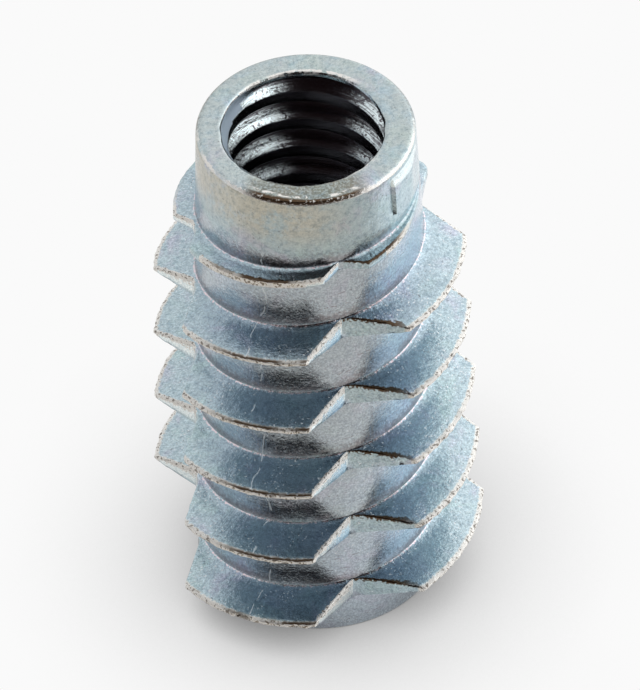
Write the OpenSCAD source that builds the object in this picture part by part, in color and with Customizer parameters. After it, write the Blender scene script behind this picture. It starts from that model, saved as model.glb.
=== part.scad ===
// Threaded insert nut for wood: one die-cast piece. A coarse knife-edged thread with
// V notches runs round a slightly tapered body. The plain end carries a collar and the
// mouth of the tapped bore; the other end carries a hexagon socket for driving it in.
// The part stands on its drive end, centred on the Z axis.

/* [Body] */
// Length from the drive end to the plain end
body_length = 20; // [14:0.5:30]
// Diameter of the collar at the plain end
collar_d = 7.3; // [6.6:0.1:8.4]
// Distance from the plain end down to where the root taper changes
collar_length = 3.5; // [1.5:0.1:5]
// Root diameter where the root taper changes
shoulder_d = 7.6; // [7:0.1:9]
// Root diameter at the drive end
base_d = 8.6; // [8:0.1:10]
// Rounding of the outer edge at each end
edge_round = 0.2; // [0.05:0.05:0.4]

/* [Outer thread] */
// Rise of the outer thread in one turn
pitch = 3.09; // [2.6:0.01:4.5]
// Height of the thread's upper flank above the drive end where the thread starts
thread_start = 1.61; // [1.3:0.01:3]
// Distance from the end of the thread to the plain end
thread_end_gap = 1.57; // [0.8:0.01:4]
// Direction of the notch where the thread starts, in degrees from +X
start_angle = 195; // [0:1:359]
// Depth of the thread at the drive end
depth_base = 1.56; // [0.8:0.02:2.2]
// Depth of the thread at the plain end, before it runs out
depth_top = 1.42; // [0.8:0.02:2.2]
// Thickness of a fin at its root
fin_root = 0.95; // [0.6:0.05:1.4]
// Thickness of a fin at its crest
fin_crest = 0.15; // [0.08:0.01:0.24]
// Fall of a fin's upper flank from root to crest
flank_fall = 0.35; // [0:0.05:0.35]
// Turns over which the thread runs out at the plain end
runout_turns = 1; // [0.5:0.1:2]

/* [Notches] */
// Notches in one turn of the thread
notch_count = 4; // [2:1:6]
// Angle over which a fin slopes up to full depth after a notch
notch_rise = 22; // [8:1:28]
// Angle over which a fin slopes down to the next notch
notch_drop = 18; // [8:1:28]
// Thickness of metal left standing on the root at the bottom of a notch
notch_floor = 0.04; // [0.02:0.01:0.2]

/* [Bore] */
// Minor diameter of the tapped bore
bore_d = 5.2; // [3:0.05:5.3]
// Diameter of the bore's mouth at the plain end
mouth_d = 5.5; // [5.4:0.05:6.2]
// Depth of the mouth's bevel
mouth_depth = 0.3; // [0.1:0.05:0.6]

/* [Hexagon socket] */
// Width of the hexagon socket across flats
hex_af = 6; // [5.5:0.1:6.4]
// Depth of the hexagon socket
hex_depth = 6; // [3:0.5:8]
// Distance that the bevel at the socket's mouth reaches outside its corners
hex_bevel = 0.1; // [0.05:0.05:0.4]

/* [Collar pad] */
// Height of the raised pad on the collar
pad_height = 0.13; // [0.06:0.01:0.3]
// Direction of the pad's sharp end, in degrees from +X
pad_angle = -41; // [-60:1:0]
// Angle that the pad spans
pad_span = 30; // [20:1:80]
// Distance from the collar's rounded edge to the pad
pad_gap = 0.05; // [0.02:0.01:0.5]
// Length of the pad's upper bevel, down to its full height
pad_bevel = 0.3; // [0.1:0.05:0.6]
// Length of the pad below its bevel
pad_length = 1.15; // [0.5:0.05:1.5]

/* [Hidden] */

turn_steps = 96;      // $fn of the round faces
corner_steps = 6;     // points in a rounded edge
rise_steps = 4;       // thread sections on a fin's rising slope
crest_steps = 8;      // thread sections along a fin's crest
drop_steps = 4;       // thread sections on a fin's falling slope
sunk = 0.35;          // depth to which the thread reaches into the root
past = 1;             // distance that a cut runs past the face it opens

// Share of the full section left at each share of the run-out, from the thread's end
runout = [[0, 0.06], [0.17, 0.4], [0.6, 0.58], [0.9, 0.8], [1, 1]];

fin_angle = 360 / notch_count;
thread_rise = body_length - thread_end_gap - thread_start;
thread_turn = 360 * thread_rise / pitch;
taper_z = body_length - collar_length;
hex_r = hex_af / 2 / cos(30);

// Radius of the root at height z
function root_r(z) =
    lookup(z, [[0, base_d / 2], [taper_z, shoulder_d / 2], [body_length, collar_d / 2]]);

// Full depth of the thread at height z
function full_depth(z) = lookup(z, [[0, depth_base], [body_length, depth_top]]);

// Radius at angle a on the straight line from (r1, a1) to (r2, a2)
function chord_r(a, a1, r1, a2, r2) =
    r1 * r2 * sin(a2 - a1) / (r1 * sin(a - a1) + r2 * sin(a2 - a));

// Depth that the notches leave at angle a within a fin as deep as full, on a root
// of radius r
function notched_depth(a, r, full) =
    let (low = r + notch_floor, high = r + full)
    (a < notch_rise ? chord_r(a, 0, low, notch_rise, high)
     : a > fin_angle - notch_drop
       ? chord_r(a, fin_angle - notch_drop, high, fin_angle, low)
     : high) - r;

// Angles of the sections along one fin
fin_angles = [
    for (i = [0 : rise_steps - 1]) notch_rise * i / rise_steps,
    for (i = [0 : crest_steps - 1])
        notch_rise + (fin_angle - notch_rise - notch_drop) * i / crest_steps,
    for (i = [0 : drop_steps - 1]) fin_angle - notch_drop * (1 - i / drop_steps)
];

// One section of the thread, at an angle turned from its start: root above,
// crest above, crest below, root below. In the run-out the fin thins from above.
function section(turned, a) =
    let (
        share = lookup((thread_turn - turned) / 360 / runout_turns, runout),
        under = thread_start + pitch * turned / 360 - fin_root,
        r = root_r(under + fin_root),
        full = full_depth(under + fin_root),
        fall = flank_fall / full,
        climb = (fin_root - flank_fall - fin_crest) / full,
        depth = max(notch_floor, min(notched_depth(a, r, full), full * share)),
        points = [
            [r - sunk, under + share * (fin_root + fall * sunk)],
            [r + depth, under + share * (fin_root - fall * depth)],
            [r + depth, under + share * climb * depth],
            [r - sunk, under - share * climb * sunk]
        ],
        direction = start_angle + turned
    )
    [for (p = points) [p.x * cos(direction), p.x * sin(direction), p.y]];

module thread() {
    sections = [
        for (start = [0 : fin_angle : thread_turn]) for (a = fin_angles)
            if (start + a < thread_turn) section(start + a, a),
        section(thread_turn, thread_turn % fin_angle)
    ];
    side = len(sections[0]);
    last = len(sections) - 1;
    polyhedron(
        points = [for (s = sections) for (p = s) p],
        faces = [
            [for (j = [0 : side - 1]) j],
            for (i = [0 : last - 1]) for (j = [0 : side - 1])
                let (k = (j + 1) % side, here = i * side, next = here + side)
                each [[here + j, next + j, next + k], [here + j, next + k, here + k]],
            [for (j = [side - 1 : -1 : 0]) last * side + j]
        ]
    );
}

// Solid of revolution: chamfered base, tapered root, collar with a rounded edge
module blank() {
    rotate_extrude($fn = turn_steps)
        polygon([
            [0, 0],
            [base_d / 2 - edge_round, 0],
            [root_r(edge_round), edge_round],
            [shoulder_d / 2, taper_z],
            for (i = [0 : corner_steps])
                let (a = 90 * i / corner_steps, r = root_r(body_length - edge_round))
                [r - edge_round * (1 - cos(a)), body_length - edge_round * (1 - sin(a))],
            [0, body_length]
        ]);
}

module collar_pad() {
    upper = body_length - edge_round - pad_gap;
    lower = upper - pad_bevel - pad_length;
    r = collar_d / 2;
    rotate([0, 0, pad_angle])
        rotate_extrude(angle = pad_span, $fn = turn_steps)
            polygon([
                [r - sunk, upper],
                [r, upper],
                [r + pad_height, upper - pad_bevel],
                [r + pad_height, lower],
                [r - sunk, lower]
            ]);
}

module bore() {
    cylinder(d = bore_d, h = body_length + past, $fn = turn_steps);
    // bevel at the mouth, carried past the end face at the same slope
    slope = (mouth_d - bore_d) / 2 / mouth_depth;
    translate([0, 0, body_length - mouth_depth])
        cylinder(d1 = bore_d, d2 = bore_d + 2 * slope * (mouth_depth + past),
                 h = mouth_depth + past, $fn = turn_steps);
}

module hex_socket() {
    translate([0, 0, -past])
        cylinder(r = hex_r, h = hex_depth + past, $fn = 6);
    // 45 degree bevel, from outside the corners in to the flats
    mouth_r = hex_r + hex_bevel;
    translate([0, 0, -past])
        cylinder(r1 = mouth_r + past, r2 = hex_af / 2, h = past + mouth_r - hex_af / 2,
                 $fn = turn_steps);
}

module insert_nut() {
    color([0.66, 0.72, 0.75])
        difference() {
            union() {
                blank();
                collar_pad();
                thread();
            }
            bore();
            hex_socket();
        }
}

insert_nut();
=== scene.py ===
# %% [markdown]
# # A threaded insert nut for wood
#
# The real object is one piece of die-cast zinc alloy. A coarse thread with V notches
# bites into the wood, a plain collar finds the pilot hole, and a machine screw goes into
# the tapped bore. The casting has a thin blue passivated coat that the tumbling barrel
# has rubbed off the sharp edges.
#
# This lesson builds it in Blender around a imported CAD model, in metres. The CAD model
# fixes the size and the place. The script adds what CAD leaves out: rounded and worn
# edges, the internal thread, and a surface that looks cast.

# %% Load the frame
import bmesh
import bpy
import math
from mathutils import Matrix, Vector, noise


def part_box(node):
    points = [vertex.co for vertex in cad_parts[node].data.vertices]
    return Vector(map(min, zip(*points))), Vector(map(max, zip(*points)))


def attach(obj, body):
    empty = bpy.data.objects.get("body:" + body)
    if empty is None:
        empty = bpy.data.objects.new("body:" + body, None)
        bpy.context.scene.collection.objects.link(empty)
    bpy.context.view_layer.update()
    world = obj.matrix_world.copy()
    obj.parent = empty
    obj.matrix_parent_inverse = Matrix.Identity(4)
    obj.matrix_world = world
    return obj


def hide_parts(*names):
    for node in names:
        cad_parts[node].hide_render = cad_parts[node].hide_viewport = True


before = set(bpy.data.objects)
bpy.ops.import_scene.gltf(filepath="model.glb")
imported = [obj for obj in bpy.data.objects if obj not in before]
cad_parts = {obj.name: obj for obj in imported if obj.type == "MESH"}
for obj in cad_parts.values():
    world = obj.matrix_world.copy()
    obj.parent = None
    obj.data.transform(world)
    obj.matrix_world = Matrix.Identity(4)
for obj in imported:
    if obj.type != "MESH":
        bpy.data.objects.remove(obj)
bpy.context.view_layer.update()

MM = 0.001
low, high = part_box("insert_nut")
print("CAD box in mm:", [round(c / MM, 2) for c in (*low, *high)])

# %% [markdown]
# ## Sizes
#
# Every size is a named value in millimetres, and is turned into metres only when a vertex
# is placed. The length comes from the frame. The rest are the sizes that a caliper would
# read off the real part: the root cone under the thread, the pitch, the section of a fin.

# %% The driving sizes
body_length = high.z / MM
root_cone = [(0, 4.3), (16.5, 3.8), (20, 3.65)]   # (height, radius) under the thread
pitch = 3.09
thread_start = 1.61        # height of the upper flank where the thread starts
thread_end = 18.43         # height that its helix reaches where the thread has run out
start_direction = 195      # degrees from +X
fin_root = 0.95            # thickness of a fin at its root
fin_crest = 0.15           # thickness at its crest
flank_fall = 0.35          # how far the upper flank falls from root to crest
fin_depths = [(0, 1.56), (20, 1.42)]              # (height, depth of the thread)
thread_turn = 360 * (thread_end - thread_start) / pitch
print("the outer thread makes", round(thread_turn / 360, 2), "turns")

# %% [markdown]
# ## Looking values up
#
# The root is a cone with one bend in it, and the run-out has a few steps. Both are short
# lists of pairs, so one small function reads any of them and draws straight lines between
# the pairs.


# %% A lookup, the root cone and the notches
def lookup(x, pairs):
    """The value at x on straight lines through the pairs."""
    if x <= pairs[0][0]:
        return pairs[0][1]
    for (x0, y0), (x1, y1) in zip(pairs, pairs[1:]):
        if x <= x1:
            return y0 + (y1 - y0) * (x - x0) / (x1 - x0)
    return pairs[-1][1]


def chord(a, a0, r0, a1, r1):
    """Radius at angle a on the straight line from (a0, r0) to (a1, r1)."""
    def s(d):
        return math.sin(math.radians(d))
    return r0 * r1 * s(a1 - a0) / (r0 * s(a - a0) + r1 * s(a1 - a))


print("root radius at mid height:", round(lookup(body_length / 2, root_cone), 2), "mm")

# %% [markdown]
# ## The notches
#
# Four columns of V notches run up the thread. Each notch is two flat cuts that meet in a
# valley: the fin slopes down to it over `drop` degrees and up from it over `rise` degrees.
# A little metal is left at the bottom. The columns are a quarter turn apart, but the one
# on the left was cut by a slightly worn part of the die, so it has values of its own.

# %% The notch columns
column_angle = 90
plain_column = {"shift": 0, "rise": 22.5, "drop": 18, "floor": 0.05}
left_column = {"shift": -1.8, "rise": 21, "drop": 16.5, "floor": 0.2}
columns = [left_column, plain_column, plain_column, plain_column]


def notched_depth(turned, root, full):
    """Depth left at an angle along the thread by the notch before it and the one after."""
    behind = columns[int(turned // column_angle) % 4]
    ahead = columns[int(turned // column_angle + 1) % 4]
    a = turned % column_angle
    crest = root + full
    up = crest
    if a < behind["rise"] + behind["shift"]:
        up = chord(a, behind["shift"], root, behind["shift"] + behind["rise"], crest)
    down = crest
    end = column_angle + ahead["shift"]
    if a > end - ahead["drop"]:
        down = chord(a, end - ahead["drop"], crest, end, root) if a < end else root
    floor = root + (behind if a < column_angle / 2 else ahead)["floor"]
    return max(floor, min(up, down)) - root


def notch_side(turned):
    """1 where a fin rises behind a notch, -1 where it drops to the next, 0 between."""
    behind = columns[int(turned // column_angle) % 4]
    ahead = columns[int(turned // column_angle + 1) % 4]
    a = turned % column_angle
    if a < behind["rise"] + behind["shift"]:
        return 1
    return -1 if a > column_angle + ahead["shift"] - ahead["drop"] else 0


print("depth of a fin at a notch and halfway to the next:",
      round(notched_depth(90, 4, 1.5), 2), round(notched_depth(135, 4, 1.5), 2), "mm")

# %% [markdown]
# ## The section of a fin
#
# A thread is a section swept along a helix. The section here covers one whole pitch, from
# the middle of the gap below a fin to the middle of the gap above it. Its last point lands
# on the first point of the next turn, so the sweep closes into one skin. Rows of points
# stand close together at the root fillets and at the crest's rounded edges, and far apart
# where the flanks are flat.

# %% The rows of the section
gap_rows = [1, 0.5, 0.14]                  # share of the way from the fin to the gap's middle
flank_rows = [0.22, 0.45, 0.68, 0.88]     # share of the depth
root_fillet = 0.12
edge_round = 0.05
fillet_limit, round_limit = 0.4, 0.3      # most of a low fin's depth that they take up
arc_middle = 1 - math.sqrt(0.5)           # how far a rounded corner's middle stands back
crest_rows = [0.3, 0.7]                   # share of the crest's height

# (share of the depth lost, share of the thickness lost) by distance from the thread's end
runout_depth = [(0, 0.0), (0.17, 0.4), (0.6, 0.58), (0.9, 0.8), (1, 1)]
runout_thickness = [(0, 0.35), (0.17, 0.42), (0.6, 0.58), (0.9, 0.8), (1, 1)]
flat_spread = 0.03                        # keeps rows apart where there is no fin,
flat_below = 0.2                          # and sets in below this depth


def fin_section(turned):
    """The rows of one section, from bottom to top, as (radius, height) in mm."""
    under = thread_start - fin_root + pitch * turned / 360
    root = lookup(under + fin_root, root_cone)
    full = lookup(under + fin_root, fin_depths)
    to_end = (thread_turn - turned) / 360
    thick = lookup(to_end, runout_thickness) * fin_root
    depth = min(notched_depth(turned, root, full), full * lookup(to_end, runout_depth))
    if turned < 0 or turned > thread_turn:
        depth = 0
    thinner = thick / fin_root
    fall = thinner * flank_fall / full * depth
    climb = thinner * (fin_root - flank_fall - fin_crest) / full * depth
    spread = flat_spread * max(0, 1 - depth / flat_below)
    top = under + thick

    def lower(share):
        return root + depth * share, under + (climb + spread) * share

    def upper(share):
        return root + depth * share, top - (fall + spread) * share

    def root_rows(junction, side):
        """Rows on the root, from the gap's middle to the fillet beside a fin."""
        middle = under + fin_root / 2 + side * pitch / 2
        start = junction + side * fillet
        return [(None, start + (middle - start) * g) for g in gap_rows]

    fillet = min(root_fillet, fillet_limit * depth)
    soft = min(edge_round, round_limit * depth)
    first = fillet / depth if depth else fillet_limit
    last = 1 - (soft / depth if depth else round_limit)
    shares = [first] + [first + (last - first) * f for f in flank_rows] + [last]
    tip = root + depth
    low_tip, high_tip = lower(1)[1], upper(1)[1]
    rows = root_rows(under, -1)
    rows.append((root + arc_middle * fillet, under - arc_middle * fillet))
    rows += [lower(share) for share in shares]
    rows.append((tip - arc_middle * soft, low_tip + arc_middle * soft))
    rows += [(tip, low_tip + (high_tip - low_tip) * c) for c in crest_rows]
    rows.append((tip - arc_middle * soft, high_tip - arc_middle * soft))
    rows += [upper(share) for share in reversed(shares)]
    rows.append((root + arc_middle * fillet, top + arc_middle * fillet))
    rows += reversed(root_rows(top, 1))
    return [(lookup(z, root_cone) if r is None else r, z) for r, z in rows]


row_count = len(fin_section(45))
print("one section has", row_count, "rows of points")

# %% [markdown]
# ## Sweeping the section up the helix
#
# Blender's spin operator turns a chain of points about an axis, and its `dvec` lifts each
# step a little, so a spin becomes a screw. One turn is swept, and the other turns are
# copies of it, each a pitch higher, because a long spin slows down as its mesh grows. The
# sweep follows a plain helix. Each vertex keeps its row's number in a layer, and its
# height then says how far along the thread it stands, so it can be moved to its true
# place: on the cone, in a notch or in the run-out. The mesh stays a clean grid, which a
# boolean of a body and a thread would not.

# %% A screw sweep
row_step = 0.1      # spacing of the rows while the sweep is still plain, in mm
plain_radius = 5    # their distance from the axis, in mm
seam_gap = 0.0005   # points closer than this become one, in mm


def polar(radius, degrees, height):
    """A point in metres from a radius, a direction and a height in mm."""
    a = math.radians(degrees)
    return Vector((radius * math.cos(a), radius * math.sin(a), height)) * MM


def screw_skin(rows, steps, turns, lead):
    """A plain helical skin of turns joined at their seams, and the layer of row numbers."""
    bm = bmesh.new()
    row_layer = bm.verts.layers.int.new("row")
    chain = []
    for number in range(rows):
        vert = bm.verts.new(polar(plain_radius, 0, number * row_step))
        vert[row_layer] = number
        chain.append(vert)
    edges = [bm.edges.new(pair) for pair in zip(chain, chain[1:])]
    bmesh.ops.spin(bm, geom=chain + edges, cent=(0, 0, 0), axis=(0, 0, 1),
                   dvec=(0, 0, lead * MM / steps), angle=math.tau, steps=steps,
                   use_merge=False, use_duplicate=False)
    one_turn = bm.verts[:] + bm.edges[:] + bm.faces[:]
    for turn in range(1, turns):
        copy = bmesh.ops.duplicate(bm, geom=one_turn)["geom"]
        verts = [part for part in copy if isinstance(part, bmesh.types.BMVert)]
        bmesh.ops.translate(bm, vec=(0, 0, turn * lead * MM), verts=verts)
    return bm, row_layer


def shape_skin(bm, row_layer, lead, steps, start, section):
    """Moves every vertex to its row in the section at its own angle along the thread."""
    step_angle = 360 / steps
    across = bm.verts.layers.float.new("across")
    reach = bm.verts.layers.float.new("reach")
    slope = bm.verts.layers.float.new("slope")
    sections = {}
    for vert in bm.verts:
        row = vert[row_layer]
        step = round((vert.co.z / MM - row * row_step) / lead * steps)
        turned = start + step * step_angle
        if step not in sections:
            sections[step] = section(turned)
        radius, height = sections[step][row]
        vert.co = polar(radius, start_direction + turned, height)
        vert[across] = row / (len(sections[step]) - 1)
        vert[reach] = (radius - lookup(height, root_cone)) / lookup(height, fin_depths)
        vert[slope] = notch_side(turned)
    bmesh.ops.remove_doubles(bm, verts=bm.verts, dist=seam_gap * MM)


# %% Sweep and shape the outer thread
thread_steps = 400
turns_in_all = 7
first_angle = -360      # both sweeps start one turn early, so that a cut can trim them level
casting, row_layer = screw_skin(row_count, thread_steps, turns_in_all, pitch)
shape_skin(casting, row_layer, pitch, thread_steps, first_angle, fin_section)
print("thread skin:", len(casting.verts), "vertices,", len(casting.faces), "faces")

# %% [markdown]
# ## From the thread to the collar
#
# A plane cuts the skin level above the last of the thread, and the cut's ring of edges is
# extruded upward to make the collar: each extrusion copies the ring, and the copy is moved
# to its own height and radius. The rim, the flat end and the mouth of the bore are more
# rings of the same kind. The collar has a small raised pad that the die leaves, so the
# rings on its wall stand close together and the vertices inside the pad move out.


# %% Rings
def trim(bm, height, keep_above):
    """Cuts a skin level, drops what is on the far side, and returns the cut's edges."""
    side = -1 if keep_above else 1
    bmesh.ops.bisect_plane(bm, geom=bm.verts[:] + bm.edges[:] + bm.faces[:],
                           plane_co=(0, 0, height * MM), plane_no=(0, 0, side),
                           clear_outer=True, dist=1e-8)
    return [e for e in bm.edges if len(e.link_faces) == 1
            and all(abs(v.co.z - height * MM) < 1e-7 for v in e.verts)]


def grow_ring(bm, ring, place):
    """Extrudes a ring of edges and moves each new vertex to place(direction, old one)."""
    made = bmesh.ops.extrude_edge_only(bm, edges=ring)["geom"]
    across = bm.verts.layers.float["across"]
    reach = bm.verts.layers.float["reach"]
    for vert in made:
        if isinstance(vert, bmesh.types.BMVert):
            vert[across] = 0
            vert[reach] = 0
            direction = math.degrees(math.atan2(vert.co.y, vert.co.x))
            vert.co = polar(*place(direction))
    return [e for e in made if isinstance(e, bmesh.types.BMEdge)]


# %% The collar and its pad
collar_cut = 17.9
rim_round = 0.2
wall_step = 0.09
pad = {"start": -41, "span": 27, "tail": 0.55, "low": 18.27, "high": 19.72, "foot": 0.05,
       "bevel": 0.3, "height": 0.125}


def fade(x, start, end):
    """0 before start, 1 after end, and a smooth slope between."""
    t = min(1, max(0, (x - start) / (end - start)))
    return t * t * (3 - 2 * t)


def pad_lift(direction, height):
    """How far the pad stands out of the collar: a sharp end, a fading end, a bevelled top."""
    across = direction - pad["start"]
    foot_height = pad["low"] - pad["foot"]
    if across < -0.2 or height < foot_height or height > pad["high"]:
        return 0
    top = fade(pad["high"] - height, 0, pad["bevel"])
    foot = fade(height, foot_height, pad["low"])
    tail = 1 - fade(across, pad["tail"] * pad["span"], pad["span"])
    return pad["height"] * top * foot * tail


ring = trim(casting, collar_cut, keep_above=False)
wall_rows = round((body_length - rim_round - collar_cut) / wall_step)
for i in range(1, wall_rows + 1):
    z = collar_cut + (body_length - rim_round - collar_cut) * i / wall_rows
    ring = grow_ring(casting, ring,
                     lambda d: (lookup(z, root_cone) + pad_lift(d, z), d, z))
print("collar wall:", wall_rows, "rings of", len(ring), "edges")

# %% [markdown]
# ## The rim and the mouth
#
# The rim's edge is a quarter round. The flat end runs in to the mouth of the bore, whose
# edge the tap has left slightly off centre, with small chips in it. The bevel inside the
# edge belongs to the internal thread's skin, which comes next.

# %% The rim and the flat end
rim_rows = 6
collar_top = lookup(body_length - rim_round, root_cone)
mouth_middle = Vector((-0.10, -0.06))     # the opening's centre, in mm
mouth_radius = 2.72
mouth_soft = 0.06
end_shares = (0.15, 0.4, 0.65, 0.88)      # rings on the flat end, on the way to the mouth
mouth_steps = ((0, 0), (0.3, 0.6), (1, 1))     # (down, inward) shares of mouth_soft
edge_chip = 0.035
edge_chips = 6                            # how closely they follow each other


def opening(direction):
    """Radius of the mouth's edge in a direction, with small chips."""
    a = math.radians(direction)
    out = Vector((math.cos(a), math.sin(a)))
    chip = noise.noise(Vector((out.x, out.y, 0)) * edge_chips) * edge_chip
    return mouth_radius + mouth_middle.dot(out) + chip


for i in range(1, rim_rows + 1):
    a = math.radians(90 * i / rim_rows)
    radius = collar_top - rim_round * (1 - math.cos(a))
    z = body_length - rim_round * (1 - math.sin(a))
    ring = grow_ring(casting, ring, lambda d: (radius, d, z))
rim_radius = collar_top - rim_round
for share in end_shares:
    ring = grow_ring(casting, ring, lambda d: (
        rim_radius + (opening(d) + mouth_soft - rim_radius) * share, d, body_length))
for drop, inward in mouth_steps:
    ring = grow_ring(casting, ring, lambda d: (
        opening(d) + mouth_soft * (1 - inward), d, body_length - mouth_soft * drop))
print("mouth's edge:", len(ring), "edges")

# %% [markdown]
# ## The internal thread
#
# The screw's thread is a 60 degree one, 1.27 mm a turn. Its skin is swept as the outer
# one was: a flat crest, a flank, a narrow flat at the bottom of the groove and a flank
# back. The groove fades out at the mouth's bevel and above the socket's floor. The bevel
# was cut a little to one side, so it is wider and deeper on the left.

# %% The section of the internal thread
screw_pitch = 1.27
screw_crest_radius = 2.6
screw_groove = 0.57
flank_slope = math.radians(30)
groove_flat = screw_pitch / 8
socket_depth = 6
mouth_bevel = 0.3                     # depth of the bevel, and how much deeper on the left
extra_depth = 0.3
bevel_width = 0.13                    # its width, and how much wider on the left
extra_width = 0.10
bevel_side = 185                      # direction of its deepest place
groove_start = 0.4                    # height in which the groove reaches full depth
groove_end = (0.9, 0.1)               # distances from the flat end where it grows shallow
groove_loss = 0.75
screw_start = 4.67                    # height of the first crest's middle
half_flank = screw_groove * math.tan(flank_slope)
crest_flat = screw_pitch - groove_flat - 2 * half_flank
# (height above the crest's middle, share of the groove's depth)
screw_rows = [(0, 0), (0.4 * crest_flat, 0), (0.55 * crest_flat, 0.06)]
screw_rows += [(crest_flat / 2 + half_flank * f, f) for f in (0.5, 0.92)]
screw_rows += [(screw_pitch / 2, 1)]
screw_rows += [(screw_pitch - h, f) for h, f in reversed(screw_rows[:-1])]
# lit_rows gives the strength of the painted highlight on each row of the upward flank
lit_rows = {2: 1.0, 3: 0.8, 4: 0.1}     # rows of the flank that faces up, and how rubbed


def bevel_extra(direction):
    """How far the mouth's bevel is cut past its plain width, on the left, from 0 to 1."""
    return max(0, math.cos(math.radians(direction - bevel_side))) ** 2


def screw_section(turned):
    """The rows of one section of the internal thread, as (radius, height) in mm."""
    base = screw_start + screw_pitch * (turned + start_direction) / 360
    extra = bevel_extra(turned + start_direction)
    bevel_foot = body_length - mouth_bevel - extra_depth * extra
    rows = []
    for rise, share in screw_rows:
        z = base + rise
        cut = screw_groove * share * fade(z, socket_depth, socket_depth + groove_start)
        cut *= 1 - groove_loss * fade(z, *(body_length - d for d in groove_end))
        bevel = (bevel_width + extra_width * extra) * fade(z, bevel_foot, body_length)
        rows.append((screw_crest_radius + max(cut, bevel), z))
    return rows


screw_steps = 128
screw_turns = 14
bridge_gap = 0.05      # between the mouth's edge and the top of the skin
bore, bore_rows = screw_skin(len(screw_rows), screw_steps, screw_turns, screw_pitch)
shape_skin(bore, bore_rows, screw_pitch, screw_steps, first_angle, screw_section)
lit_flank = bore.verts.layers.float.new("lit_flank")
for vert in bore.verts:
    vert[lit_flank] = lit_rows.get(vert[bore_rows], 0)
trim(bore, socket_depth, keep_above=True)
trim(bore, body_length - mouth_soft - bridge_gap, keep_above=False)
print("internal thread:", len(bore.faces), "faces")

# %% [markdown]
# ## The drive end
#
# The same trick closes the other end. The lower ring goes down to the base, in over the
# flat ring that the part stands on, and up into the hexagon socket. A hexagon is a ring
# whose radius depends on the direction, so the round ring turns into it in one step. The
# socket's mouth has a 45 degree bevel that only reaches a little past its corners.

# %% The base and the hexagon socket
base_cut = 0.3
base_soft = 0.12
base_rows = 3
socket_flats = 6
socket_soft = 0.1
socket_corner = socket_flats / 2 / math.cos(math.radians(30))
base_radii = (3.9, 3.7, socket_corner + socket_soft)
socket_heights = (0.35, 0.8, 2, 3.5, 5, 5.8, socket_depth)
floor_shares = (0.3, 0.7, 0.95)
floor_gap = 0.02         # between the floor's last ring and the internal thread's crests


def hexagon(direction):
    """Radius of the socket's wall in a direction, with corners on the X axis."""
    from_flat = (direction % 60) - 30
    return socket_flats / 2 / math.cos(math.radians(from_flat))


ring = trim(casting, base_cut, keep_above=True)
base_radius = root_cone[0][1]
for i in range(base_rows + 1):
    a = math.radians(90 * i / base_rows)
    radius = base_radius - base_soft * (1 - math.cos(a))
    z = base_soft * (1 - math.sin(a))
    ring = grow_ring(casting, ring, lambda d: (radius, d, z))
for radius in base_radii:
    ring = grow_ring(casting, ring, lambda d: (radius, d, 0))
for z in socket_heights:
    ring = grow_ring(casting, ring, lambda d: (
        max(hexagon(d), socket_corner + socket_soft - z), d, z))
floor_radius = screw_crest_radius + floor_gap
for share in floor_shares:
    ring = grow_ring(casting, ring, lambda d: (
        hexagon(d) + (floor_radius - hexagon(d)) * share, d, socket_depth))
print("socket's floor:", len(ring), "edges")

# %% [markdown]
# ## One closed skin
#
# The internal thread's skin joins the casting's: a bridge runs from the mouth's edge to
# its top and another from the socket's floor to its foot. Then the faces are turned
# outward. The mesh has no hole left, as a casting has none.

# %% Join the two skins
bore_mesh = bpy.data.meshes.new("bore_skin")
inside = bore.verts.layers.float.new("inside")
for vert in bore.verts:
    vert[inside] = 1
bore.to_mesh(bore_mesh)
bore.free()
casting.from_mesh(bore_mesh)
bpy.data.meshes.remove(bore_mesh)
open_edges = [e for e in casting.edges if len(e.link_faces) == 1]
for is_upper in (True, False):
    rims = [e for e in open_edges if (e.verts[0].co.z > body_length / 2 * MM) == is_upper]
    bmesh.ops.bridge_loops(casting, edges=rims)
bmesh.ops.recalc_face_normals(casting, faces=casting.faces)
still_open = sum(len(e.link_faces) != 2 for e in casting.edges)
print("closed skin:", len(casting.faces), "faces,", still_open, "open edges")

# %% [markdown]
# ## Wear on the crests
#
# A tumbled casting has no clean edge: the crests are nibbled all along and have a chip
# here and there. The vertices of the crest rows move in and out with a fine noise, and
# where a second, slower noise runs high they move in further. The lowest crest has taken
# one harder knock, a dent in front on the left.

# %% Nibble the crests
crest_band = (0.4, 0.6)     # share of the section that the crest's rows take up
crest_limits = (0.35, 0.7)  # reaches between which the wear sets in
nibble = 0.045              # how far the crest moves in or out, with a fine noise
nibble_lift = 0.7           # how far it moves up or down, as a share of that
chip_depth = 0.10
chip_limits = (0.35, 0.6)   # heights of the slow noise where a chip starts and is full
in_scale, up_scale, chip_scale = 5, 4, 2.2     # of the noises, finer as they rise
up_shift, chip_shift = Vector((2, 9, 4)), Vector((7, 3, 1))
dent_place = Vector((-2.8, -5.05, 1.6))
dent_reach = 0.45
dent_depth = 0.22
across = casting.verts.layers.float["across"]
reach = casting.verts.layers.float["reach"]
inside = casting.verts.layers.float["inside"]
nibbled = 0
for vert in casting.verts:
    if crest_band[0] < vert[across] < crest_band[1] and not vert[inside]:
        p = vert.co / MM
        radius = math.hypot(p.x, p.y)
        fine = noise.noise(p * in_scale) * nibble
        lift = noise.noise(p * up_scale + up_shift) * nibble * nibble_lift
        chip = fade(noise.noise(p * chip_scale + chip_shift), *chip_limits) * chip_depth
        at_crest = fade(vert[reach], *crest_limits)
        dent = fade(1 - (p - dent_place).length / dent_reach, 0.0, 1.0) * dent_depth
        shrink = 1 - ((chip + fine) * at_crest + dent) / radius
        vert.co.x *= shrink
        vert.co.y *= shrink
        vert.co.z += lift * at_crest * MM
        nibbled += 1
print("nibbled vertices:", nibbled)

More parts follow.
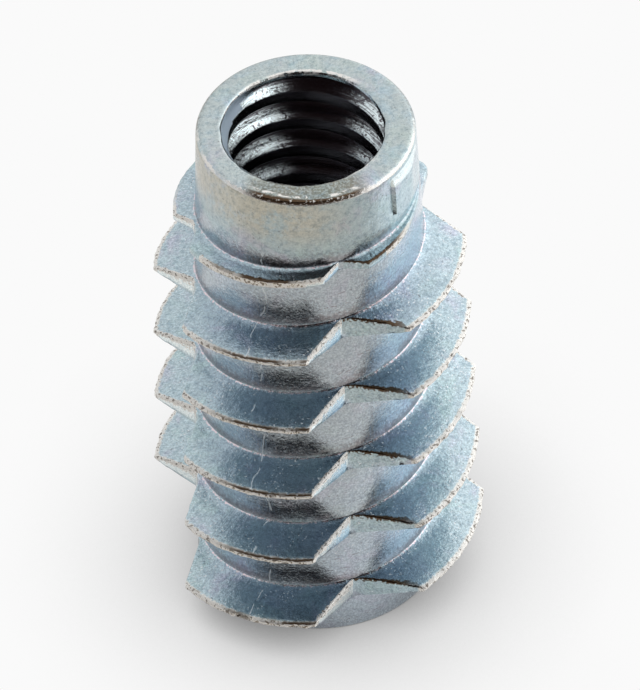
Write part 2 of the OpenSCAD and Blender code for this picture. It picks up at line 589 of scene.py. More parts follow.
# %% [markdown]
# ## The casting's object
#
# A mesh becomes a piece when an object carries it. The object stays at the origin, since
# the mesh is already in its place. It rides on the CAD model's body and replaces the CAD
# node. Faces of the internal thread take the second material, down from the foot of the
# mouth's bevel, and edges sharper than the given angle stay crisp under smooth shading.

# %% Make the casting's object
sharp_angle = math.radians(38)
for face in casting.faces:
    middle = face.calc_center_median()
    extra = bevel_extra(math.degrees(math.atan2(middle.y, middle.x)))
    tapped_top = (body_length - mouth_bevel - extra_depth * extra) * MM
    face.material_index = int(min(vert[inside] for vert in face.verts) > 0.5
                              and max(vert.co.z for vert in face.verts) < tapped_top)
mesh = bpy.data.meshes.new("insert_nut_casting")
casting.to_mesh(mesh)
casting.free()
mesh.shade_smooth()
mesh.set_sharp_from_angle(angle=sharp_angle)
piece = bpy.data.objects.new("insert_nut_casting", mesh)
bpy.context.scene.collection.objects.link(piece)
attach(piece, "root")
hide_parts("insert_nut")
print("triangles:", sum(len(face.vertices) - 2 for face in mesh.polygons))

# %% [markdown]
# ## Building finishes from groups
#
# A finish is a Principled shader fed by small node groups, one for each thing that
# happened to the metal: how it was cast, how its coat is tinted, how its edges wore. A
# group is built once and can be placed in several materials with different numbers. All
# patterns are in millimetres on Object coordinates, so they have a real size. A few short
# functions make the nodes, so that a mask reads as one line.

# %% Nodes and links
def add_node(tree, kind, **values):
    """A new node. A value is set on the node itself, or on the input of that name."""
    node = tree.nodes.new(kind)
    for name, value in values.items():
        if hasattr(node, name):
            setattr(node, name, value)
        else:
            node.inputs[name.replace("_", " ")].default_value = value
    return node


def join(tree, value, socket):
    """Links a socket's value to another socket, or sets it to a number or a colour."""
    if isinstance(value, bpy.types.NodeSocket):
        tree.links.new(value, socket)
    else:
        socket.default_value = (*value, 1) if isinstance(value, tuple) else value


def math_node(tree, operation, a, b=0.0):
    """A Math node's output. Each operand is a number or a socket."""
    node = add_node(tree, "ShaderNodeMath", operation=operation)
    join(tree, a, node.inputs[0])
    join(tree, b, node.inputs[1])
    return node.outputs[0]


def blend(tree, factor, a, b, kind="MIX"):
    """Two colours blended by a mask. Each is a colour or a socket."""
    node = add_node(tree, "ShaderNodeMix", data_type="RGBA", blend_type=kind)
    join(tree, factor, node.inputs["Factor"])
    join(tree, a, node.inputs["A"])
    join(tree, b, node.inputs["B"])
    return node.outputs["Result"]


def ramp(tree, value, stops):
    """A colour ramp's output, from a list of (place, colour) stops."""
    node = add_node(tree, "ShaderNodeValToRGB")
    elements = node.color_ramp.elements
    while len(elements) < len(stops):
        elements.new(0.5)
    for element, (place, colour) in zip(elements, stops):
        element.position = place
        element.color = (*colour, 1)
    join(tree, value, node.inputs["Fac"])
    return node.outputs["Color"]


print("node helpers ready")


# %% Groups and finishes
def new_group(name, inputs, outputs):
    """A node group with number inputs and outputs of the given kinds."""
    group = bpy.data.node_groups.new(name, "ShaderNodeTree")
    new_socket = group.interface.new_socket
    for label, value in inputs.items():
        new_socket(label, in_out="INPUT", socket_type="NodeSocketFloat").default_value = value
    for label, kind in outputs.items():
        new_socket(label, in_out="OUTPUT", socket_type="NodeSocket" + kind)
    start = add_node(group, "NodeGroupInput")
    end = add_node(group, "NodeGroupOutput")
    return group, start.outputs, end.inputs


def place_group(tree, group, **values):
    """Places the group in a material, sets its inputs and returns its outputs."""
    node = add_node(tree, "ShaderNodeGroup", node_tree=group)
    for name, value in values.items():
        join(tree, value, node.inputs[name])
    return node.outputs


def new_finish(name):
    """A material, its node tree and its Principled shader."""
    material = bpy.data.materials.new(name)
    material.use_nodes = True
    return material, material.node_tree, material.node_tree.nodes["Principled BSDF"]


def add_relief(tree, shader, height, depth):
    """Bumps the shader's normal by a height, as deep as depth in mm."""
    bump = add_node(tree, "ShaderNodeBump", Strength=1.0, Distance=depth * MM)
    join(tree, height, bump.inputs["Height"])
    join(tree, bump.outputs["Normal"], shader.inputs["Normal"])


print("group helpers ready")


# %% Masks
def between(tree, value, low, high):
    """0 below low, 1 above high, and a smooth slope between. low may be above high."""
    node = add_node(tree, "ShaderNodeMapRange", interpolation_type="SMOOTHSTEP")
    join(tree, value, node.inputs["Value"])
    join(tree, low, node.inputs["From Min"])
    join(tree, high, node.inputs["From Max"])
    return node.outputs["Result"]


def times(tree, first, *others):
    """The product of masks and numbers: an overlap, where they are masks."""
    for other in others:
        first = math_node(tree, "MULTIPLY", first, other)
    return first


def largest(tree, first, *others):
    """The largest of masks and numbers: masks laid together."""
    for other in others:
        first = math_node(tree, "MAXIMUM", first, other)
    return first


def opposite(tree, mask):
    """1 where the mask is 0, and 0 where it is 1."""
    return math_node(tree, "SUBTRACT", 1.0, mask)


def from_to(tree, mask, start, end):
    """A number that is start where the mask is 0 and end where it is 1."""
    return math_node(tree, "ADD", start, times(tree, mask, end - start))


def band(tree, value, low, rise, fall, high):
    """A mask that is 1 from rise to fall and fades to 0 at low and high."""
    return times(tree, between(tree, value, low, rise), between(tree, value, high, fall))


print("mask helpers ready")


# %% Places and patterns
def attribute(tree, name):
    """A number that the mesh carries on its vertices."""
    return add_node(tree, "ShaderNodeAttribute", attribute_name=name).outputs["Fac"]


def millimetres(tree):
    """Object coordinates in mm."""
    coords = add_node(tree, "ShaderNodeTexCoord")
    scaled = add_node(tree, "ShaderNodeVectorMath", operation="MULTIPLY")
    scaled.inputs[1].default_value = (1 / MM,) * 3
    join(tree, coords.outputs["Object"], scaled.inputs[0])
    return scaled.outputs[0]


def split(tree, vector):
    """The X, Y and Z of a vector."""
    parts = add_node(tree, "ShaderNodeSeparateXYZ")
    join(tree, vector, parts.inputs[0])
    return parts.outputs


def along(tree, vector, direction):
    """How far a vector reaches in a direction."""
    node = add_node(tree, "ShaderNodeVectorMath", operation="DOT_PRODUCT")
    node.inputs[1].default_value = direction
    join(tree, vector, node.inputs[0])
    return node.outputs["Value"]


def from_axis(tree, x, y):
    """Distance from the Z axis."""
    squares = math_node(tree, "ADD", times(tree, x, x), times(tree, y, y))
    return math_node(tree, "POWER", squares, 0.5)


def around(tree, per_radian, per_mm_out, per_mm_up):
    """A vector of direction, radius and height about the Z axis, each with its own scale."""
    x, y, z = split(tree, millimetres(tree))
    direction = math_node(tree, "ARCTAN2", y, x)
    vector = add_node(tree, "ShaderNodeCombineXYZ")
    join(tree, times(tree, direction, per_radian), vector.inputs[0])
    join(tree, times(tree, from_axis(tree, x, y), per_mm_out), vector.inputs[1])
    join(tree, times(tree, z, per_mm_up), vector.inputs[2])
    return vector.outputs[0]


def noise_node(tree, vector, scale, detail=2.0, roughness=0.5, distortion=0.0):
    """A noise texture's value."""
    node = add_node(tree, "ShaderNodeTexNoise", Detail=detail, Roughness=roughness,
                    Distortion=distortion)
    join(tree, vector, node.inputs["Vector"])
    join(tree, scale, node.inputs["Scale"])
    return node.outputs["Fac"]


def frayed(tree, value, pattern, amount):
    """A value pushed up and down by a noise, so that the edge of its mask is ragged."""
    push = times(tree, math_node(tree, "SUBTRACT", pattern, 0.5), amount)
    return math_node(tree, "ADD", value, push)


print("pattern helpers ready")

# %% [markdown]
# ## Cast grain
#
# Molten zinc takes the die's own texture. Up close the skin is a fine grain that
# glitters, over soft waves and flow marks that run out along the flanks. The group gives
# a height for the bump, a mask of small dark pits, a mask of glints, which the casting's
# finish paints as pale highlights on single grains, and a colour that makes single grains
# darker or lighter. Pits and glints come in clusters.

# %% The grain group
no_change = (1.0, 1.0, 1.0)
grain_dark = (0.62, 0.63, 0.66)
grain_light = (1.45, 1.48, 1.50)
grain, given, gives = new_group(
    "cast_grain", {"Fine": 0.5, "Waves": 0.5, "Flow": 0.5},
    {"Height": "Float", "Pits": "Float", "Glints": "Float", "Grains": "Color"})
place = millimetres(grain)
fine = noise_node(grain, place, 10, detail=3, roughness=0.7)
waves = noise_node(grain, place, 1.5, detail=2)
flow = noise_node(grain, around(grain, 26, 0.9, 1.2), 1.0, detail=3, roughness=0.6,
                  distortion=0.5)
height = 0.0
for pattern, share in ((fine, "Fine"), (waves, "Waves"), (flow, "Flow")):
    height = math_node(grain, "ADD", height, times(grain, pattern, given[share]))
join(grain, height, gives["Height"])
clusters = noise_node(grain, place, 1.1, detail=2)
pits = times(grain, between(grain, noise_node(grain, place, 8.5, detail=1), 0.66, 0.74),
             between(grain, clusters, 0.40, 0.60))
glints = times(grain, between(grain, noise_node(grain, place, 11, detail=1), 0.62, 0.74),
               between(grain, clusters, 0.42, 0.58))
join(grain, pits, gives["Pits"])
join(grain, glints, gives["Glints"])
grains = noise_node(grain, place, 13, detail=2, roughness=0.8)
join(grain, ramp(grain, grains, [(0.36, grain_dark), (0.5, no_change), (0.64, grain_light)]),
     gives["Grains"])
print(grain.name, "gives", [socket.name for socket in gives if socket.name])

# %% [markdown]
# ## The passivated coat
#
# The coat is thin enough to show colours: mostly blue-grey, drifting to lilac and to
# sea-green in patches of a millimetre or two. In patches it also turns a warm grey: on the
# front left of the collar that is a painted reflection of the warm floor, and on the flat
# end a warmer tone. A finer mottle makes it a little darker or lighter.

# %% The coat's tints
blue_grey = (0.47, 0.58, 0.63)
lilac_grey = (0.51, 0.55, 0.64)
warm_tint_and_reflection_grey = (0.56, 0.56, 0.50)
sea_grey = (0.46, 0.59, 0.61)
mottle_dark = (0.72, 0.76, 0.79)
mottle_light = (1.11, 1.10, 1.08)
tints, given, gives = new_group("coat_tints", {"Warmth": 0.0}, {"Color": "Color"})
place = millimetres(tints)
drift = noise_node(tints, place, 0.6, detail=4, roughness=0.65, distortion=0.8)
colour = ramp(tints, drift, [(0.34, sea_grey), (0.46, blue_grey), (0.54, blue_grey),
                             (0.68, lilac_grey)])
warm_patches = noise_node(tints, place, 1.0, detail=4, roughness=0.7)
warm = times(tints, between(tints, warm_patches, 0.30, 0.55), given["Warmth"])
colour = blend(tints, warm, colour, warm_tint_and_reflection_grey)
mottle = ramp(tints, noise_node(tints, place, 5.0, detail=4, roughness=0.8),
              [(0.36, mottle_dark), (0.5, no_change), (0.66, mottle_light)])
join(tints, blend(tints, 1.0, colour, mottle, "MULTIPLY"), gives["Color"])
print("tints:", blue_grey, lilac_grey, warm_tint_and_reflection_grey)

# %% [markdown]
# ## Worn edges
#
# Tumbling rubs the coat off the crests. What shows there is bright, slightly yellow metal,
# broken into beads, whose white is also a painted highlight. Above it the shader paints a
# brown line of painted shade, a dark reflection, that thickens beside the notches.
# The run-out stands proud on the collar, so it is worn too. The cut that falls to a notch
# is a facet with a painted highlight and a bright edge. The mesh tells the shader where a
# point is: `across` counts along the fin's section, `reach` says how far out the point is,
# and `slope` tells the rising side of a notch from the falling one. A noise is added to
# `across`, so that the lines come out ragged.

# %% The wear group: where a point is
# Spans of the section, from 0 at its foot to 1 at its top: fade in, full, full, fade out
span = {"crest": (0.35, 0.39, 0.625, 0.65), "crest's lower edge": (0.36, 0.39, 0.42, 0.45),
        "facet": (0.44, 0.48, 0.53, 0.56), "facet's edge": (0.505, 0.525, 0.635, 0.655),
        "upper flank": (0.58, 0.72, 0.84, 0.87), "lower flank": (0.13, 0.16, 0.28, 0.42),
        "dark reflection line": (0.57, 0.585, 0.625, 0.645), "thick reflection line": (0.545, 0.56, 0.655, 0.675),
        "seam": (0.847, 0.862, 0.868, 0.884), "root band": (0.855, 0.868, 0.89, 0.95)}
bead_push = 0.11             # how far the beads push the edge of a span
fin_foot = (0.01, 0.03)      # reaches between which the root gives way to a fin
crest_reach = (0.86, 0.95)   # reaches where a crest starts, and where it has its full height
run_out_reach, run_out_height = (0.12, 0.22), (16.2, 16.6)
middle_part = (3.9, 2.6)     # distances from the middle, to the left and right, in mm
wear, given, gives = new_group("crest_wear", {"Beads": 9.0}, {
    "Bright": "Float", "Brown": "Float", "Seam": "Float", "Facet": "Float",
    "Flanks": "Float", "Root band": "Float", "Beads": "Float", "Root": "Float"})
across_in = attribute(wear, "across")
reach_in = attribute(wear, "reach")
slope_in = attribute(wear, "slope")
place = millimetres(wear)
x, y, z = split(wear, place)
beads = noise_node(wear, place, given["Beads"], detail=2, roughness=0.6)
drift = noise_node(wear, place, 0.7, detail=3)
ragged = frayed(wear, across_in, beads, bead_push)
on_fin = between(wear, reach_in, *fin_foot)
on_root = band(wear, reach_in, -0.1, -0.05, *fin_foot)
central = between(wear, math_node(wear, "ABSOLUTE", x), *middle_part)
rising = between(wear, slope_in, 0.3, 0.8)
dropping = between(wear, slope_in, -0.3, -0.8)
run_out = times(wear, between(wear, z, *run_out_height),
                between(wear, reach_in, *run_out_reach),
                opposite(wear, largest(wear, rising, dropping)))
full_height = largest(wear, between(wear, reach_in, *crest_reach), run_out)
print(wear.name, "knows", len(span), "spans of the section")

# %% The wear group: metal, flanks and roots
crest_face = times(wear, band(wear, ragged, *span["crest"]), full_height)
facet_edge = times(wear, band(wear, ragged, *span["facet's edge"]), dropping)
bright = times(wear, largest(wear, crest_face, facet_edge), on_fin)
join(wear, bright, gives["Bright"])
# White beads: worn metal that is also a painted highlight, most at the sides and facets
lumps = largest(wear, between(wear, beads, 0.44, 0.52), dropping,
                math_node(wear, "SUBTRACT", 0.9, central),
                band(wear, ragged, *span["crest's lower edge"]))
join(wear, times(wear, bright, lumps), gives["Beads"])
# The facet's mask, where the finish paints a highlight
facet = times(wear, band(wear, across_in, *span["facet"]), dropping, on_fin, 0.85)
join(wear, facet, gives["Facet"])
flanks = largest(wear, band(wear, across_in, *span["upper flank"]),
                 band(wear, across_in, *span["lower flank"]))
join(wear, times(wear, flanks, on_fin), gives["Flanks"])
join(wear, on_root, gives["Root"])
join(wear, times(wear, on_root, band(wear, ragged, *span["root band"])), gives["Root band"])
print(wear.name, "gives bright metal on crests and on the edges of facets")

# %% The wear group: the painted dark line and the seam
# Painted shade: a dark reflected line above the crest, near the middle, thicker by the notches
dark_reflection = times(wear, between(wear, drift, 0.36, 0.52), full_height, central,
              opposite(wear, dropping))
thick = times(wear, largest(wear, rising, times(wear, run_out, dark_reflection)), central,
              band(wear, ragged, *span["thick reflection line"]))
dark_reflection = times(wear, band(wear, ragged, *span["dark reflection line"]), dark_reflection)
dark_reflection = times(wear, largest(wear, dark_reflection, thick), on_fin)
specks = times(wear, bright, between(wear, beads, 0.45, 0.40), 0.75)
join(wear, largest(wear, dark_reflection, specks), gives["Brown"])
seam = times(wear, band(wear, ragged, *span["seam"]), on_fin, between(wear, beads, 0.40, 0.55))
join(wear, seam, gives["Seam"])
print(wear.name, "is ready")

# %% [markdown]
# ## The die's parting line
#
# A die opens along a plane, and a hairline of flash stays where its halves met. Here that
# is a thin, broken, wandering light line that crosses every flank. The plane is a
# direction, so a dot product tells how far a point is from it.

# %% The parting line group
parting_angle = math.radians(-116)
parting, given, gives = new_group("parting_line", {"Width": 0.034}, {"Line": "Float"})
place = millimetres(parting)
from_plane = along(parting, place, (math.sin(parting_angle), -math.cos(parting_angle), 0))
from_plane = frayed(parting, from_plane, noise_node(parting, place, 0.7, detail=3), 1.1)
line = between(parting, math_node(parting, "ABSOLUTE", from_plane), given["Width"], 0.008)
broken = between(parting, noise_node(parting, place, 2.3, detail=1), 0.44, 0.50)
join(parting, times(parting, line, broken), gives["Line"])
print(parting.name, "is ready")

# %% [markdown]
# ## Worn rims
#
# The plain end has been rubbed and knocked as well. Cream metal shows along the front of
# the outer rim, where it is also a painted highlight, and in stretches at the back of the
# bore's mouth. Just inside the front of the rim the flat end has a dark line with smears of
# cream metal beside it, and a film of dirt. The back of the rim is only faintly dark. All of
# this is found by height, radius and side.

# %% The rim group: where a point is
rim_line = (19.86, 19.89, 19.95, 19.985)  # heights of the cream line on the outer rim
back_line = (19.86, 19.90, 19.97, 20.0)   # heights of the faint dark line behind
mouth_line = (2.60, 2.70, 2.76, 2.83)     # radii of the cream line at the mouth
dark_line = (3.44, 3.51)                  # radii where the dark line on the end starts
smear_line = (3.27, 3.33, 3.40, 3.46)     # radii of the smears
knocked_part = (-2.3, -1.6, 1.4, 2.2)     # from left to right, the knocked front
wall_radii = (3.3, 3.45)                  # where the flat end gives way to the outer rim
end_heights = (19.86, 19.92)
rim, given, gives = new_group("worn_rims", {"Beads": 8.0}, {
    "Bright": "Float", "Dark": "Float", "Dirt": "Float"})
place = millimetres(rim)
x, y, z = split(rim, place)
radius = from_axis(rim, x, y)
beads = noise_node(rim, place, given["Beads"], detail=2, roughness=0.7)
stretches = noise_node(rim, place, 0.8, detail=2)
height = frayed(rim, z, beads, 0.12)
outside = between(rim, radius, *wall_radii)
in_front = between(rim, y, 0.8, -0.8)
at_front = between(rim, y, -2.1, -3.0)
on_end = between(rim, z, *end_heights)
knocked = band(rim, x, *knocked_part)
print(rim.name, "knows the rim, the mouth and the knocked front")

# %% The rim group: metal and dirt
outer = times(rim, band(rim, height, *rim_line), outside, in_front,
              largest(rim, at_front, between(rim, stretches, 0.40, 0.50)))
behind = between(rim, math_node(rim, "SUBTRACT", y, times(rim, x, 0.8)), 0.2, 1.4)
lip = times(rim, between(rim, y, -1.0, -2.2), 0.7)
mouth = times(rim, band(rim, frayed(rim, radius, beads, 0.12), *mouth_line),
              between(rim, height, 19.80, 19.90), largest(rim, behind, lip),
              between(rim, noise_node(rim, place, 2.6, detail=2), 0.40, 0.52))
wavy_radius = frayed(rim, radius, stretches, 0.3)
knocked_edge = times(rim, on_end, at_front, knocked)
smear = times(rim, band(rim, wavy_radius, *smear_line), knocked_edge,
              between(rim, noise_node(rim, place, 3.2, detail=3), 0.50, 0.58))
join(rim, largest(rim, outer, mouth, smear), gives["Bright"])
dark = times(rim, between(rim, wavy_radius, *dark_line), knocked_edge,
             between(rim, beads, 0.34, 0.46))
back = times(rim, band(rim, height, *back_line), outside, opposite(rim, in_front),
             between(rim, beads, 0.42, 0.54), 0.5)
join(rim, largest(rim, dark, back), gives["Dark"])
film = from_to(rim, between(rim, beads, 0.62, 0.42), 0.45, 1.0)
join(rim, times(rim, between(rim, y, -1.9, -2.7), on_end, knocked, film), gives["Dirt"])
print(rim.name, "is ready")

# %% [markdown]
# ## The casting's finish
#
# One Principled shader takes all the groups. Its colour is built up in layers: the tinted
# coat with its pits first, then painted highlights on the bevel at the top of the pad and on
# the facets, painted shade on the flanks in the middle, painted glints, the grain, the seam
# and the parting line, then bare metal where the coat is rubbed through, and on top of
# everything a brown painted dark line along the crests. The wide side of the mouth's bevel,
# which is found by the attribute `inside`, gets a painted highlight too. Bare metal is made
# rougher and less metallic than the coat, and the painted highlights and glints less
# metallic, so that they look pale from every side and don't turn black with the reflections.

# %% The casting's colours
pit_dark = (0.16, 0.17, 0.18)
painted_flank_shade = (0.66, 0.68, 0.75)
highlight_cyan = (0.88, 0.98, 1.0)
glint_blue = (0.86, 0.93, 0.98)
root_lilac = (0.57, 0.585, 0.67)
root_brown = (0.66, 0.58, 0.57)
soil = (0.52, 0.46, 0.39)
seam_pink = (0.80, 0.67, 0.72)
crest_beige = (0.82, 0.78, 0.70)
worn_metal_highlight = (1.0, 0.98, 0.94)
bevel_highlight_blue = (0.62, 0.76, 0.90)
line_and_speck_brown = (0.10, 0.065, 0.04)
print("the coat's bare places:", crest_beige, worn_metal_highlight)

# %% The places of the casting's finish
# Heights in mm, between which a mask fades in, or fades in and out
thread_top = (17.8, 17.4)
brown_top = (18.0, 17.85)
middle_top = (17.2, 16.4)
reflection_heights = (17.6, 19.0, 19.85, 19.95)
pad_bevel_heights = (19.42, 19.48, 19.72, 19.78)
mouth_bevel_heights = (19.30, 19.40, 19.90, 19.94)
flat_end = (19.9, 19.97)
reflection_side = Vector((-0.8, -0.6, 0))      # toward the collar's warm grey side
pad_side = Vector((0.90, -0.44, 0))      # toward the pad
zinc, tree, shader = new_finish("zinc_casting")
place = millimetres(tree)
x, y, z = split(tree, place)
off_collar = between(tree, z, *thread_top)
# Painted reflection: the collar's front left is tinted warm, as the floor would be mirrored
warm_tint_and_reflection = times(tree, band(tree, z, *reflection_heights),
               between(tree, along(tree, place, reflection_side), 0.4, 2.6))
warm_tint_and_reflection = math_node(tree, "ADD", warm_tint_and_reflection, times(tree, between(tree, z, *flat_end), 0.4))
cast = place_group(tree, grain, Fine=0.28, Waves=0.6, Flow=0.30)
coat = place_group(tree, tints, Warmth=warm_tint_and_reflection)
rims = place_group(tree, rim)
worn = place_group(tree, wear)
flash = place_group(tree, parting)
# Painted highlight on the bevel at the top of the pad
pad_highlight = times(tree, band(tree, z, *pad_bevel_heights),
                  between(tree, along(tree, place, pad_side), 3.50, 3.56), 0.8)
# Painted shade: the flanks near the middle, in front and behind, are made darker
in_middle = times(tree, between(tree, math_node(tree, "ABSOLUTE", x), 4.8, 2.4),
                  between(tree, z, *middle_top))
patches = between(tree, noise_node(tree, place, 0.5, detail=2), 0.35, 0.55)
# Painted glints: pale, less metallic dots on single grains, off the collar
shiny = times(tree, cast["Glints"], off_collar)
# Painted highlight: the wide left side of the mouth's bevel, pale blue and less metallic
mouth_highlight = times(tree, attribute(tree, "inside"), band(tree, z, *mouth_bevel_heights),
                 between(tree, x, -1.7, -2.3))
# Brown: the painted dark line above the crests, specks on bare metal, the rims' dark lines
brown = times(tree, worn["Brown"], between(tree, z, *brown_top))
brown = largest(tree, brown, rims["Dark"])
print("groups in the finish:", sum(node.type == "GROUP" for node in tree.nodes))

# %% The layers of the casting's colour
layers = [
    (times(tree, cast["Pits"], 0.6), pit_dark, "MIX"),
    (pad_highlight, highlight_cyan, "MIX"),
    (times(tree, worn["Flanks"], in_middle), painted_flank_shade, "MULTIPLY"),
    (worn["Facet"], highlight_cyan, "MIX"),
    (shiny, glint_blue, "MIX"),
    (times(tree, worn["Root"], off_collar, 0.4), root_lilac, "MIX"),
    (from_to(tree, off_collar, 0.2, 0.48), cast["Grains"], "MULTIPLY"),
    # Browner and darker on the root just above the fin's root line, in patches
    (times(tree, worn["Root band"], patches), root_brown, "MULTIPLY"),
    (rims["Dirt"], soil, "MULTIPLY"),
    (worn["Seam"], seam_pink, "MIX"),
    (times(tree, flash["Line"], off_collar), glint_blue, "MIX"),
    (worn["Bright"], crest_beige, "MIX"),
    # Worn metal in the beads and on the rims, which is also a painted highlight
    (worn["Beads"], worn_metal_highlight, "MIX"),
    (rims["Bright"], worn_metal_highlight, "MIX"),
    (mouth_highlight, bevel_highlight_blue, "MIX"),
    (brown, line_and_speck_brown, "MIX"),
]
colour = coat["Color"]
for mask, paint, kind in layers:
    colour = blend(tree, mask, colour, paint, kind)
join(tree, colour, shader.inputs["Base Color"])
print("layers of colour:", len(layers))

# %% The casting's gloss and relief
coat_roughness, worn_roughness = 0.155, 0.455
coat_metallic, bare_metallic = 1.0, 0.35
grain_depth = 0.04
rubbed_and_lit = largest(tree, worn["Bright"], flash["Line"])
join(tree, from_to(tree, rubbed_and_lit, coat_roughness, worn_roughness), shader.inputs["Roughness"])
# Worn bare metal, and the painted highlights and glints, are made less metallic
bare_and_highlight = largest(tree, mouth_highlight, worn["Beads"], rims["Bright"], times(tree, shiny, 0.8))
join(tree, from_to(tree, bare_and_highlight, coat_metallic, bare_metallic), shader.inputs["Metallic"])
add_relief(tree, shader, cast["Height"], grain_depth)
mesh.materials.append(zinc)
print(zinc.name, "has", len(tree.nodes), "nodes")

# %% [markdown]
# ## The tapped thread's finish
#
# A tap cuts smooth flanks with fine lines along its path. They are painted dark, for the
# cutting oil that stays on them and for the shade deep in the bore. The lines are a noise
# stretched along the turn, and the cast grain lies under them. The flanks that face up get
# a painted highlight: the mesh marks them with `lit_flank`. It is brightest on the left,
# less so on the right and hardly there in the middle, where the shade is painted, and
# specks of oil break it.

# %% The tapped thread's finish
# The bore's dark colour stands for oily metal and painted shade together
oil_and_shade_dark = (0.14, 0.13, 0.145)
lit_flank_highlight = (0.86, 0.97, 1.0)
line_depth = 0.016
# Painted shade: the flanks in the middle are left dark
shaded_middle_part = (-1.1, -0.2, 1.0, 1.9)       # from left to right, where oil has stayed
right_part = (0.2, 1.8)
tapped, tree, shader = new_finish("tapped_thread")
place = millimetres(tree)
x, y, z = split(tree, place)
cast = place_group(tree, grain, Fine=0.7, Waves=0.4, Flow=0.0)
tool_lines = noise_node(tree, around(tree, 1.6, 14, 14), 1.0, detail=3, roughness=0.6)
streaks = between(tree, tool_lines, 0.38, 0.58)
specks = between(tree, noise_node(tree, place, 7, detail=3, roughness=0.7), 0.47, 0.40)
# Painted highlight on the flanks that face up, with painted shade in the middle
rubbed_and_lit = times(tree, attribute(tree, "lit_flank"), from_to(tree, streaks, 0.45, 1.0),
               from_to(tree, specks, 1.0, 0.3),
               from_to(tree, band(tree, x, *shaded_middle_part), 1.0, 0.15),
               from_to(tree, between(tree, x, *right_part), 1.0, 0.55))
colour = blend(tree, between(tree, rubbed_and_lit, 0.1, 0.5), oil_and_shade_dark, lit_flank_highlight)
join(tree, colour, shader.inputs["Base Color"])
shader.inputs["Metallic"].default_value = 1.0
shader.inputs["Roughness"].default_value = 0.22
add_relief(tree, shader, math_node(tree, "ADD", tool_lines, cast["Height"]), line_depth)
mesh.materials.append(tapped)
print("faces of the tapped thread:", sum(face.material_index for face in mesh.polygons))

# %% [markdown]
# ## Light
#
# The part stands in a tent of white cloth that is open in front. It is lit softly from
# all sides, more from the right, and the open front shows in it as a dark patch. That
# patch is what makes a grey metal read as metal: the fins in front mirror it and turn
# dark, and the ones at the sides stay pale. The tent is the world here. Its colour depends
# only on the direction, and what is seen past the part is plain white.

# %% The tent
tent_left = (0.86, 0.86, 0.86)
tent_right = (1.65, 1.65, 1.65)
opening_colour = (0.03, 0.02, 0.02)
opening_direction = Vector((-0.12, -0.83, 0.54)).normalized()
opening_edge = (0.50, 0.76)      # cosines of the angles where the tent and the opening meet
plain_white = (1, 1, 1)
world = bpy.data.worlds.new("studio")
bpy.context.scene.world = world
world.use_nodes = True
tree = world.node_tree
background = tree.nodes["Background"]
direction = add_node(tree, "ShaderNodeTexCoord").outputs["Generated"]
x, y, z = split(tree, direction)
tent = blend(tree, between(tree, x, -0.2, 0.9), tent_left, tent_right)
opening_mask = between(tree, along(tree, direction, opening_direction), *opening_edge)
sky = blend(tree, opening_mask, tent, opening_colour)
light_path = add_node(tree, "ShaderNodeLightPath").outputs
join(tree, blend(tree, light_path["Is Camera Ray"], sky, plain_white),
     background.inputs["Color"])
background.inputs["Strength"].default_value = 1.0
bpy.context.scene.view_settings.view_transform = "Standard"
print("the tent's opening faces", [round(c, 2) for c in opening_direction])

# %% [markdown]
# ## The floor
#
# The floor is pale paper. Light falls on it and bounces off it by diffuse shading. What
# is seen of it, directly or mirrored in the metal, is an emission instead, as white as
# the tent, so that the two meet without a line. Two ramps turn the openness of the sky
# into its grey: a steep one for the paper itself, so that the shadow hugs the part, and a
# soft one for the paper that the metal mirrors. The mirrored paper is also greyer on the
# left and warmer far out in front.

# %% The floor's mesh
floor_half_side = 1.5      # metres
bm = bmesh.new()
bmesh.ops.create_grid(bm, x_segments=8, y_segments=8, size=floor_half_side)
floor_mesh = bpy.data.meshes.new("floor")
bm.to_mesh(floor_mesh)
bm.free()
floor = bpy.data.objects.new("floor", floor_mesh)
bpy.context.scene.collection.objects.link(floor)
print("the floor is", 2 * floor_half_side, "m wide")

# %% The floor's paper
paper_white = (0.956, 0.956, 0.956)
shadow_grey = (0.03, 0.03, 0.03)
near_grey, mid_grey, far_grey = (0.40,) * 3, (0.68,) * 3, (0.86,) * 3
front_warm = (0.70, 0.66, 0.61)
left_grey = (0.82, 0.80, 0.78)
right_white = (1.15, 1.15, 1.15)
shadow_reach = 10                       # this and the next two in mm
front_near, front_far = -3, -14
side_reach = 12
paper, tree, shader = new_finish("floor_paper")
tree.nodes.remove(shader)
dusty = add_node(tree, "ShaderNodeBsdfDiffuse", Color=(0.8, 0.79, 0.77, 1))
open_sky = add_node(tree, "ShaderNodeAmbientOcclusion", samples=16,
                    Distance=shadow_reach * MM).outputs["AO"]
seen_shade = ramp(tree, open_sky, [(0.0, shadow_grey), (0.35, near_grey), (0.6, mid_grey),
                                   (0.8, far_grey), (0.92, paper_white)])
mirrored_shade = ramp(tree, open_sky, [(0.0, shadow_grey), (1.0, paper_white)])
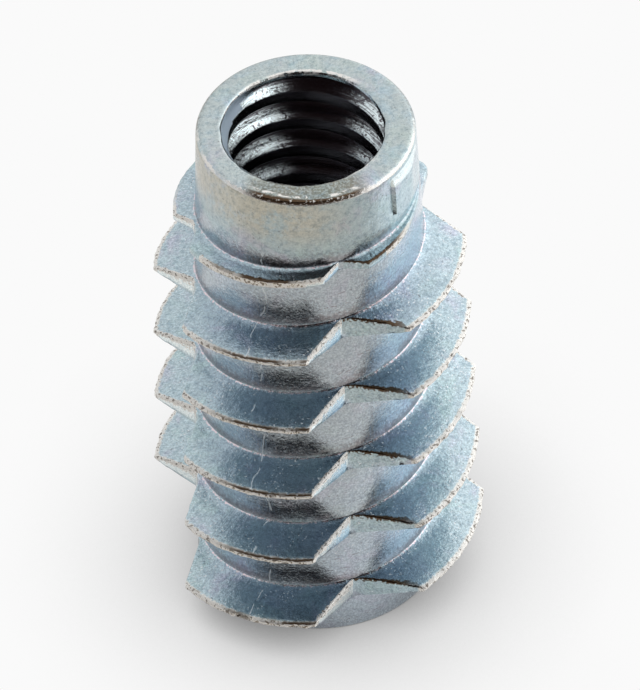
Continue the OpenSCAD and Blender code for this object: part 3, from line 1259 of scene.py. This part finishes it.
x, y, z = split(tree, millimetres(tree))
mirrored = blend(tree, between(tree, x, -side_reach, side_reach), left_grey, right_white)
mirrored = blend(tree, between(tree, y, front_near, front_far), mirrored, front_warm)
mirrored = blend(tree, 1.0, mirrored_shade, mirrored, "MULTIPLY")
light_path = add_node(tree, "ShaderNodeLightPath").outputs
glow = add_node(tree, "ShaderNodeEmission")
join(tree, blend(tree, light_path["Is Glossy Ray"], seen_shade, mirrored),
     glow.inputs["Color"])
surface = add_node(tree, "ShaderNodeMixShader")
shown = largest(tree, light_path["Is Camera Ray"], light_path["Is Glossy Ray"])
join(tree, shown, surface.inputs[0])
join(tree, dusty.outputs[0], surface.inputs[1])
join(tree, glow.outputs[0], surface.inputs[2])
join(tree, surface.outputs[0], tree.nodes["Material Output"].inputs["Surface"])
floor_mesh.materials.append(paper)
print("the part's shadow reaches", shadow_reach, "mm")

# %% [markdown]
# ## The camera
#
# A camera looks down its own -Z axis, so its matrix is made of three directions: right,
# up and back. It looks down on the part at about 45 degrees, from a fifth of a metre away
# and through a long lens, so that the two ends come out at nearly the same scale. A small
# roll leans the part a little to one side.

# %% The camera
elevation = math.radians(45.23)
roll = math.radians(-2.07)
lens = 337.4
distance = 219.2                       # this and the next three in mm
aim_height = 12.59
aim_right, aim_down = 0.2865, 2.004
back = Vector((0, -math.cos(elevation), math.sin(elevation)))
level = Vector((1, 0, 0))
above = back.cross(level)
right = level * math.cos(roll) + above * math.sin(roll)
up = above * math.cos(roll) - level * math.sin(roll)
aim = Vector((0, 0, aim_height)) + right * aim_right - up * aim_down
turn = Matrix((right, up, back)).transposed().to_quaternion()
camera_data = bpy.data.cameras.new("camera")
camera_data.lens = lens
camera_data.clip_start = 0.01
camera = bpy.data.objects.new("camera", camera_data)
camera.matrix_world = Matrix.LocRotScale((aim + back * distance) * MM, turn, None)
bpy.context.scene.collection.objects.link(camera)
bpy.context.scene.camera = camera
print("camera at", [round(c / MM) for c in camera.matrix_world.translation], "mm")
